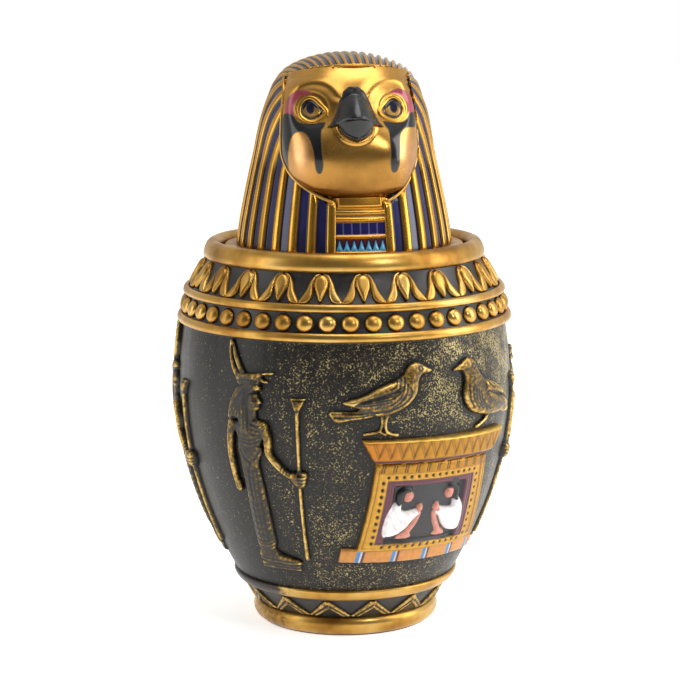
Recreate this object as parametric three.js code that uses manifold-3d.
// Canopic jar: a souvenir in cast, painted resin. A hollow jar with moulded bands and wrapped low
// relief, and a loose lid in the shape of a falcon's head that wears a striped wig.
// Millimetres, +Z up. The foot stands on z = 0 and the falcon looks along -Y.
import * as THREE from "three";
import { mergeVertices } from "three/addons/utils/BufferGeometryUtils.js";
import Module from "manifold-3d";

const wasm = await Module();
wasm.setup();

// ---- Driving dimensions ----
const HEIGHT = 190; // foot to crown
const BELLY_RADIUS = 55.3; // widest part of the jar
const BELLY_LEVEL = 80; // height of the widest part
const FOOT_TOP = 17; // the belly starts here
const BELLY_TOP = 101.6; // and ends here, under the bead band
const FOOT_RADIUS = 31;
const RIM_TOP = 128.4;
const RIM_RADIUS = 46.2;
const LEDGE = 123.5; // the lid's flange lies on this step inside the rim
const RIM_BORE = 41;
const THROAT = 36;
const FLOOR = 9; // inside bottom
const FLANGE = 39.6; // lid
const PLUG = 35;
const BEADS = 46;
const BEAD_PHASE = 0.67; // degrees round to the first of each repeat
const LOTUSES = 23;
const LOTUS_PHASE = BEAD_PHASE - 180 / BEADS; // each flower hangs over a corner between two facets
const CHEVRONS = 14;
const CHEVRON_PHASE = 6.9;
const PANEL_TURN = 60; // degrees between the pictures round the belly
const SINK = 1; // how deep a moulding is rooted in the surface that carries it
const EDGE_SINK = 0.4; // and how deep its edges lie, so that flat facets still cover them

const rad = THREE.MathUtils.degToRad;
const lerp = THREE.MathUtils.lerp;
const ease = (t) => THREE.MathUtils.smoothstep(t, 0, 1);

// ---- Solids ----

/** A closed three.js geometry as a manifold-3d solid. */
function solid(geometry) {
  const bare = geometry.index ? geometry.toNonIndexed() : geometry.clone();
  for (const name of Object.keys(bare.attributes)) {
    if (name !== "position") bare.deleteAttribute(name);
  }
  const merged = mergeVertices(bare, 1e-4);
  return new wasm.Manifold(
    new wasm.Mesh({
      numProp: 3,
      vertProperties: merged.attributes.position.array,
      triVerts: new Uint32Array(merged.index.array),
    }),
  );
}

/** A manifold-3d solid as a named three.js mesh. */
function meshOf(name, body, material) {
  const { vertProperties, triVerts } = body.getMesh();
  const geometry = new THREE.BufferGeometry();
  geometry.setAttribute("position", new THREE.BufferAttribute(new Float32Array(vertProperties), 3));
  geometry.setIndex(new THREE.BufferAttribute(new Uint32Array(triVerts), 1));
  geometry.computeVertexNormals();
  const mesh = new THREE.Mesh(geometry, material);
  mesh.name = name;
  return mesh;
}

/** Moves each vertex of a geometry to the place that a function gives for it. */
function moved(geometry, place) {
  const points = geometry.attributes.position;
  const point = new THREE.Vector3();
  for (let i = 0; i < points.count; i += 1) {
    point.fromBufferAttribute(points, i);
    place(point, i);
    points.setXYZ(i, point.x, point.y, point.z);
  }
  return geometry;
}

/** A body of revolution about Z from points of radius and height. */
function turned(profile, segments) {
  const points = profile.map(([radius, z]) => new THREE.Vector2(radius, z));
  return solid(new THREE.LatheGeometry(points, segments).rotateX(Math.PI / 2));
}

// ---- Surfaces that carry mouldings: radius as a function of height ----

/** The egg-shaped belly, which falls off by a power of the distance from its widest level. */
function bellyRadius(z) {
  const [fall, reach] = z < BELLY_LEVEL ? [18.7, BELLY_LEVEL - FOOT_TOP] : [1.9, BELLY_TOP - BELLY_LEVEL];
  return BELLY_RADIUS - fall * Math.pow(Math.abs(z - BELLY_LEVEL) / reach, 1.87);
}

const cone = ([low, high]) => (z) => lerp(low[0], high[0], (z - low[1]) / (high[1] - low[1]));
const FOOT_BAND = [[29.8, 6.6], [34.3, 13.8]];
const BEAD_BAND = [[53.1, 105], [51.9, 110.2]];
const LOTUS_BAND = [[50.5, 113.6], [45.3, 122.4]];

/** Wraps a drawing (across, up, out) onto a surface of revolution, centred at an azimuth from -Y. */
function wrapped(geometry, radiusAt, degrees) {
  return solid(moved(geometry, (p) => {
    const radius = radiusAt(p.y);
    const slope = (radiusAt(p.y + 0.1) - radiusAt(p.y - 0.1)) / 0.2;
    const steep = Math.hypot(1, slope);
    const reach = radius + p.z / steep;
    const turn = rad(degrees) + p.x / radius;
    p.set(reach * Math.sin(turn), -reach * Math.cos(turn), p.y - (p.z * slope) / steep);
  }));
}

// ---- Moulding strokes, drawn flat ----

/** A raised stroke along a drawn line. Half widths are spread evenly from its start to its end. */
function ridge(line, halfWidths, height, steps = line.length - 1) {
  const spine = new THREE.CatmullRomCurve3(
    line.map(([x, y]) => new THREE.Vector3(x, y, 0)), false, "catmullrom", 0.5,
  );
  const widest = Math.max(...halfWidths);
  return moved(new THREE.CylinderGeometry(1, 1, 1, 4, steps), (p) => {
    const along = 0.5 - p.y;
    const station = along * (halfWidths.length - 1);
    const first = Math.min(Math.floor(station), halfWidths.length - 2);
    const half = lerp(halfWidths[first], halfWidths[first + 1], station - first);
    const centre = spine.getPoint(along);
    const tangent = spine.getTangent(along);
    const out = p.z > 0.5 ? height * Math.sqrt(half / widest) : p.z > -0.5 ? -EDGE_SINK : -SINK;
    p.set(centre.x - tangent.y * p.x * half, centre.y + tangent.x * p.x * half, out);
  });
}

/** A raised plate, wider at one end if asked. The columns let it bend round the surface. */
function slab(centre, low, high, lowHalf, highHalf, height, columns = 2, rows = 1) {
  return moved(new THREE.BoxGeometry(2, 1, 1, columns, rows, 1), (p) => {
    const rise = p.y + 0.5;
    p.set(centre + p.x * lerp(lowHalf, highHalf, rise), lerp(low, high, rise), p.z > 0 ? height : -SINK);
  });
}

const mirrored = (line) => line.map(([x, y]) => [-x, y]);

/** The mirror image of a drawn geometry, its faces turned round to stay outward. */
function flipped(geometry) {
  const copy = geometry.toNonIndexed();
  const [p, a, b] = [copy.attributes.position, new THREE.Vector3(), new THREE.Vector3()];
  for (let i = 0; i < p.count; i += 3) {
    a.fromBufferAttribute(p, i + 1);
    b.fromBufferAttribute(p, i + 2);
    p.setX(i, -p.getX(i));
    p.setXYZ(i + 1, -b.x, b.y, b.z);
    p.setXYZ(i + 2, -a.x, a.y, a.z);
  }
  return copy;
}

const pair = (pieces) => [...pieces, ...pieces.map(flipped)];

/** Repeats a drawing round the jar, the first at an azimuth in degrees. */
function ring(count, phase, radiusAt, draw) {
  return Array.from({ length: count }, (_, i) =>
    draw().map((piece) => wrapped(piece, radiusAt, phase + (i * 360) / count))).flat();
}

// ---- Jar ----

/** The wall: foot, belly, bands and rim outside, with the hollow taken out from above. */
function vessel() {
  const belly = [FOOT_TOP, 26, 38, 52, 67, 83, BELLY_TOP].map((z) => [bellyRadius(z), z]);
  const outside = [
    [0, 0], [28.6, 0], [FOOT_RADIUS, 2.8], ...FOOT_BAND,
    ...belly, [55.1, 103.2], ...BEAD_BAND, [52.9, 111.8], ...LOTUS_BAND,
    [RIM_RADIUS, 124.8], [45.3, RIM_TOP], [0, RIM_TOP],
  ];
  const inside = [
    [0, FLOOR], [24, 11], [37, 29], [47, 53], [50, 82], [46.6, 107], [THROAT, 118.4],
    [THROAT, LEDGE], [RIM_BORE, LEDGE], [RIM_BORE, RIM_TOP + 2], [0, RIM_TOP + 2],
  ];
  // The wall's flat facets are turned so that a bead sits in the middle of each.
  const facing = BEAD_PHASE - 180 / BEADS;
  return turned(outside, BEADS).rotate([0, 0, facing]).subtract(turned(inside, 16));
}

/** A row of round beads between the two upper mouldings. */
function beads() {
  const middle = (BEAD_BAND[0][1] + BEAD_BAND[1][1]) / 2;
  return ring(BEADS, BEAD_PHASE, cone(BEAD_BAND), () => [
    new THREE.ConeGeometry(3, 2.6, 4).rotateX(Math.PI / 2).translate(0, middle, 0.5),
  ]);
}

/** Hanging lotus flowers: a pointed middle petal between two petals that sweep apart. */
function lotuses() {
  return ring(LOTUSES, LOTUS_PHASE, cone(LOTUS_BAND), () => [
    ridge([[0, 121.6], [0, 114]], [2.4, 0.2], 1.4),
    ...pair([ridge([[2.2, 120.6], [6, 114]], [1.5, 0.3], 1)]),
  ]);
}

function chevrons() {
  const vee = [[-5.9, 7.6], [0, 12.6], [5.9, 7.6]];
  return ring(CHEVRONS, CHEVRON_PHASE, cone(FOOT_BAND), () => [ridge(vee, [1.2, 1.2], 0.9)]);
}

/** The scorpion on a goddess's head: its body, and its tail curled up behind. */
const scorpion = () => ridge([[2.4, 91.2], [-8, 89.6], [-11.6, 92], [-12.9, 100.2]], [0.6, 1.9, 1.2, 0.5], 1.6);

/** A tall loop in its place, for the goddess at the side. */
const loop = () => ridge([[-5.4, 88], [-5.4, 95], [-5.4, 101.8]], [1.4, 2.2, 1.2], 1.6);

/** A standing goddess who wears a crown, with one arm down and one hand on a tall staff. */
function goddess(crown) {
  return [
    crown(),
    ridge([[-3.4, 88.4], [-3.2, 78.6]], [2.6, 3.8, 1.8], 2.6, 2),
    ridge([[-5, 88.6], [-9.3, 81.5], [-9.8, 71.6]], [2.2, 3.4, 2.4], 2.2),
    ridge([[-5.6, 76.4], [-5.8, 62], [-5.4, 47], [-5.3, 33]], [6.6, 4, 4, 3.4], 1.9),
    ridge([[-12, 74.6], [-13.3, 64], [-11.6, 52.4]], [1.8, 1.3], 1.8),
    ridge([[0.2, 75], [0.8, 65.8], [10.8, 58]], [1.9, 1.5], 1.9, 3),
    ridge([[11.1, 80], [10.1, 57], [8.1, 30]], [0.8, 0.8], 1.3, 3),
    ridge([[11.2, 84.2], [10.9, 79.5]], [2.6, 0.9], 1.5),
    ridge([[-8.4, 29.2], [5, 28]], [2.6, 0.8], 1.5),
    slab(-2.2, 24.6, 26.6, 7.4, 7.4, 1),
  ];
}

/** A kiosk with a flared cornice, a framed window and two seated figures who face each other. */
function kiosk() {
  return [
    slab(0, 27, 33.2, 26.8, 27.2, 1.4, 4),
    slab(0, 33, 35.8, 23.4, 23.2, 2, 4),
    slab(0, 57.6, 62.8, 22.4, 22, 2, 4),
    slab(0, 62.6, 71.6, 23, 28.2, 2.8, 5),
    ...pair([
      slab(-19.8, 35, 58, 3.8, 3.4, 2, 1, 2),
      ridge([[-9.4, 54], [-8.8, 49.4]], [1.5, 2.3, 1.3], 1.6, 2),
      ridge([[-11.4, 48.6], [-11.6, 42], [-10.4, 37]], [2.6, 3.9, 2.8], 1.5),
      ridge([[-6.8, 36.8], [-4.6, 46]], [2.4, 1], 1.3),
    ]),
  ];
}

/** Two birds that stand on the cornice and face each other. */
function birds() {
  return pair([
    ridge([[-9.4, 92.6], [-16, 86.6], [-28, 80.8], [-35.8, 78.6]], [2.4, 5.2, 2.8, 1.6], 2.6),
    ridge([[-12, 91.4], [-7.4, 92.8], [-3.4, 91.8]], [2.2, 2.2, 0.2], 2.2),
    ridge([[-20.4, 81], [-19.4, 72.4]], [0.9, 0.6], 1),
    ridge([[-25.6, 72.3], [-15.6, 72.3]], [0.8, 0.7], 1),
  ]);
}

/** A pillar with two cross bars, for the back of the jar. */
function pillar() {
  return [
    ridge([[0, 98], [0, 28]], [3, 3.6], 1.8, 3),
    ...[85, 92].map((z) => slab(0, z - 1.6, z + 1.6, 7, 7, 1.6, 1)),
  ];
}

/** The pictures round the belly, each at its own azimuth. */
function pictures() {
  const drawings = [
    goddess(scorpion), [...kiosk(), ...birds()], goddess(scorpion).map(flipped), pillar(), pillar(), goddess(loop),
  ];
  return drawings.flatMap((pieces, i) =>
    pieces.map((piece) => wrapped(piece, bellyRadius, -36 + i * PANEL_TURN)));
}

// ---- Lid ----

const EQUATOR = 150; // below this the wig falls almost straight, above it it is a dome
const RIBS_A_SIDE = 17; // raised ribs from the middle of the back to the edge of each lappet
const THROAT_EDGE = 13.4; // azimuth where the sunk throat panel starts
const POLE_TILT = 36; // the ribs run together at a pole this far forward of the vertical
const WIG_BASE = 126.2;

const wigOutline = new THREE.SplineCurve(
  [[36, 126], [35, 133], [33.7, 140], [32, 148], [30.2, 156], [28.7, 164], [27.2, 170.5], [25.4, 175.5],
    [23.2, 180.5], [19.6, 184.6], [13.6, 187.6], [6, 189.5], [0, HEIGHT]].map(([r, z]) => new THREE.Vector2(r, z)),
).getPoints(240);

/** Half width of the wig at a height. */
function wigRadius(z) {
  const above = wigOutline.findIndex((p) => p.y >= z);
  if (above <= 0) return above < 0 ? 0 : wigOutline[0].x;
  const [low, high] = [wigOutline[above - 1], wigOutline[above]];
  return Math.max(0, lerp(low.x, high.x, (z - low.y) / (high.y - low.y)));
}

/** The crown sits a little forward of the foot. */
const crownShift = (z) => 5 * ease((z - EQUATOR) / (HEIGHT - EQUATOR));

/** How far forward of the axis the wig's surface stands. */
const wigForward = (x, z) => Math.sqrt(Math.max(0, wigRadius(z) ** 2 - x * x)) + crownShift(z);

/** Azimuth of a rib counted from the back of the head, at the wig's foot and next to the pole. */
function ribTurn(index, nearPole) {
  const i = Math.abs(index);
  const atFoot = i < 9 ? i * 8.67 : 78 + (i - 9) * 10.75;
  const atPole = i < 9 ? THREE.MathUtils.radToDeg(Math.atan((i * 2.2) / 6)) : 73.1 + (i - 9) * 11.36;
  return 180 + Math.sign(index) * lerp(atFoot, atPole, nearPole);
}

/** Where a ray from inside the dome, at a polar angle and azimuth, meets the wig. */
function domePoint(azimuth, polar) {
  const ray = new THREE.Vector3().setFromSphericalCoords(1, rad(polar), rad(azimuth));
  ray.applyAxisAngle(new THREE.Vector3(1, 0, 0), Math.PI / 2 + rad(POLE_TILT * (1 - polar / 90)));
  let [near, far] = [0, 60];
  for (let i = 0; i < 30; i += 1) {
    const reach = (near + far) / 2;
    const z = EQUATOR + ray.z * reach;
    const out = Math.hypot(ray.x * reach, ray.y * reach + crownShift(z));
    if (z < HEIGHT && out < wigRadius(z)) near = reach;
    else far = reach;
  }
  return ray.multiplyScalar(near).setZ(ray.z + EQUATOR);
}

/** The wig: a bell closed by a dome, with a raised rib at every other column. */
function wig() {
  const columns = [];
  for (let i = -RIBS_A_SIDE; i <= RIBS_A_SIDE; i += 0.5) columns.push({ rib: i, proud: i % 1 ? -1 : 0 });
  for (const turn of [-1, -0.5, 0, 0.5, 1]) columns.push({ azimuth: turn * THROAT_EDGE, proud: -1.5 });
  const drops = [WIG_BASE, EQUATOR];
  const polars = [70, 52, 35, 18];
  const last = drops.length + polars.length + 1;
  const stations = Array.from({ length: last + 1 }, (_, row) => new THREE.Vector2(row % last ? 1 : 0, row));
  const shell = new THREE.LatheGeometry(stations, columns.length);
  const uv = shell.attributes.uv;
  return solid(moved(shell, (p, i) => {
    const { rib, azimuth, proud } = columns[Math.round(uv.getX(i) * columns.length) % columns.length];
    const row = Math.round(uv.getY(i) * last);
    if (row === 0) return p.set(0, 0, WIG_BASE);
    if (row === last) return p.copy(domePoint(0, 0));
    const polar = polars[row - 1 - drops.length];
    if (polar === undefined) {
      const turn = rad(azimuth ?? ribTurn(rib, 0));
      const radius = wigRadius(drops[row - 1]) + proud;
      return p.set(radius * Math.sin(turn), -radius * Math.cos(turn), drops[row - 1]);
    }
    p.copy(domePoint(azimuth ?? ribTurn(rib, ease(1 - polar / 90)), polar));
    const scale = 1 + proud / Math.hypot(p.x, p.y, p.z - EQUATOR);
    return p.set(p.x * scale, p.y * scale, EQUATOR + (p.z - EQUATOR) * scale);
  }));
}

// The face is drawn as how far it stands forward of the axis at (across, up).
const FACE_LOW = 142.6;
const FACE_HIGH = 186;
const FACE_DROOP = 2.4; // the forehead's corners lie this much lower than its middle
const CHEEK_LEVEL = 160;
const CHEEK = 22.2;
const FACE_ROWS = 9;
const EYE = { across: 13.4, up: 172.8 };

/** Half width of the face's outline: round below the cheeks, slightly drawn in above them. */
function faceHalf(z) {
  if (z > CHEEK_LEVEL) return CHEEK - 2.4 * Math.pow((z - CHEEK_LEVEL) / 24, 2);
  return CHEEK * Math.sqrt(1 - Math.pow((CHEEK_LEVEL - z) / (CHEEK_LEVEL - FACE_LOW + 0.8), 2));
}

const faceProfile = new THREE.SplineCurve(
  [[142, 28.8], [146, 32.2], [152, 34.2], [159, 34.2], [166, 32.4], [172, 29.4], [178, 26.8], [183, 24], [187, 20]]
    .map(([z, forward]) => new THREE.Vector2(z, forward)),
);

function faceForward(x, z) {
  const half = faceHalf(z);
  const edge = Math.pow(Math.max(0, 1 - Math.pow(Math.min(1, Math.abs(x) / half), 2.4)), 0.45);
  const side = Math.max(10, Math.min(wigForward(half, z) - 1.6, 26));
  const middle = faceProfile.getPoint(THREE.MathUtils.clamp((z - 142) / 45, 0, 1)).y;
  const socket = 4.2 * Math.exp(-(((Math.abs(x) - EYE.across) / 6) ** 2) - ((z - EYE.up) / 6) ** 2);
  return side + (middle - side) * edge - socket * edge;
}

/** A block in the front view's (across, up), its near side pushed forward to a given surface. */
function frontBlock([columns, rows], [low, high], halfAt, forward, back, droop = 0) {
  return solid(moved(new THREE.BoxGeometry(2, 1, 2, columns, rows, 1), (p) => {
    const rise = p.y + 0.5;
    const across = Math.sin((p.x * Math.PI) / 2);
    const z = lerp(low, high, rise);
    const x = across * halfAt(z);
    p.set(x, p.z > 0 ? -forward(x, z) : -back, z - droop * across * across * rise ** 4);
  }));
}

const arch = (x, half) => Math.sqrt(Math.max(0, 1 - (x / half) ** 2));

function beak() {
  const upperHalf = (z) => lerp(7.4, 2, ease((z - 167.6) / 12.4));
  const lowerHalf = (z) => lerp(3, 5.8, Math.sqrt((z - 163.2) / 4.8));
  return [
    frontBlock([4, 4], [167.6, 180], upperHalf, (x, z) =>
      25 + (0.6 + 11.4 * Math.sin(rad(7.2 * (180 - z)))) * arch(x, upperHalf(z)), 20),
    frontBlock([4, 2], [163.2, 168], lowerHalf, (x, z) => 30 + 4.6 * arch(x, lowerHalf(z)) - 0.3 * (168 - z), 20),
  ];
}

function eyes() {
  return [-1, 1].map((side) => {
    const ball = new THREE.SphereGeometry(1, 6, 4).scale(3.4, 2, 2.8);
    return solid(ball.translate(side * EYE.across, -faceForward(EYE.across, EYE.up) + 0.8, EYE.up));
  });
}

/** The three flat bands of the collar that show between the lappets. */
function collar() {
  return [[126.4, 128.2], [131.8, 133.2], [136.8, 140.6]].map(([low, high]) =>
    frontBlock([4, 1], [low, high], () => 8, (x, z) => wigForward(x, z) - 0.5, 25));
}

function lid() {
  const overlap = 0.3;
  const face = frontBlock([12, FACE_ROWS], [FACE_LOW, FACE_HIGH], faceHalf, faceForward, 6, FACE_DROOP);
  const niche = frontBlock([12, FACE_ROWS], [FACE_LOW + overlap, FACE_HIGH - overlap],
    (z) => faceHalf(z) - overlap, () => 60, 9, FACE_DROOP);
  const foot = turned([[0, 118.6], [PLUG, 118.6], [PLUG, LEDGE], [FLANGE, LEDGE], [FLANGE, 126.8], [0, 126.8]], 24);
  return wasm.Manifold.union([wig().subtract(niche), face, foot, ...beak(), ...eyes(), ...collar()]);
}

// ---- Materials and assembly ----

const bronze = new THREE.MeshStandardMaterial({ color: 0x3c3830, roughness: 0.45, metalness: 0.4 });
const gilt = new THREE.MeshStandardMaterial({ color: 0xc8963c, roughness: 0.35, metalness: 0.8 });

const canopicJar = new THREE.Group();
canopicJar.add(
  meshOf("jar", wasm.Manifold.union([vessel(), ...beads(), ...lotuses(), ...chevrons(), ...pictures()]), bronze),
  meshOf("lid", lid(), gilt),
);

export default canopicJar;
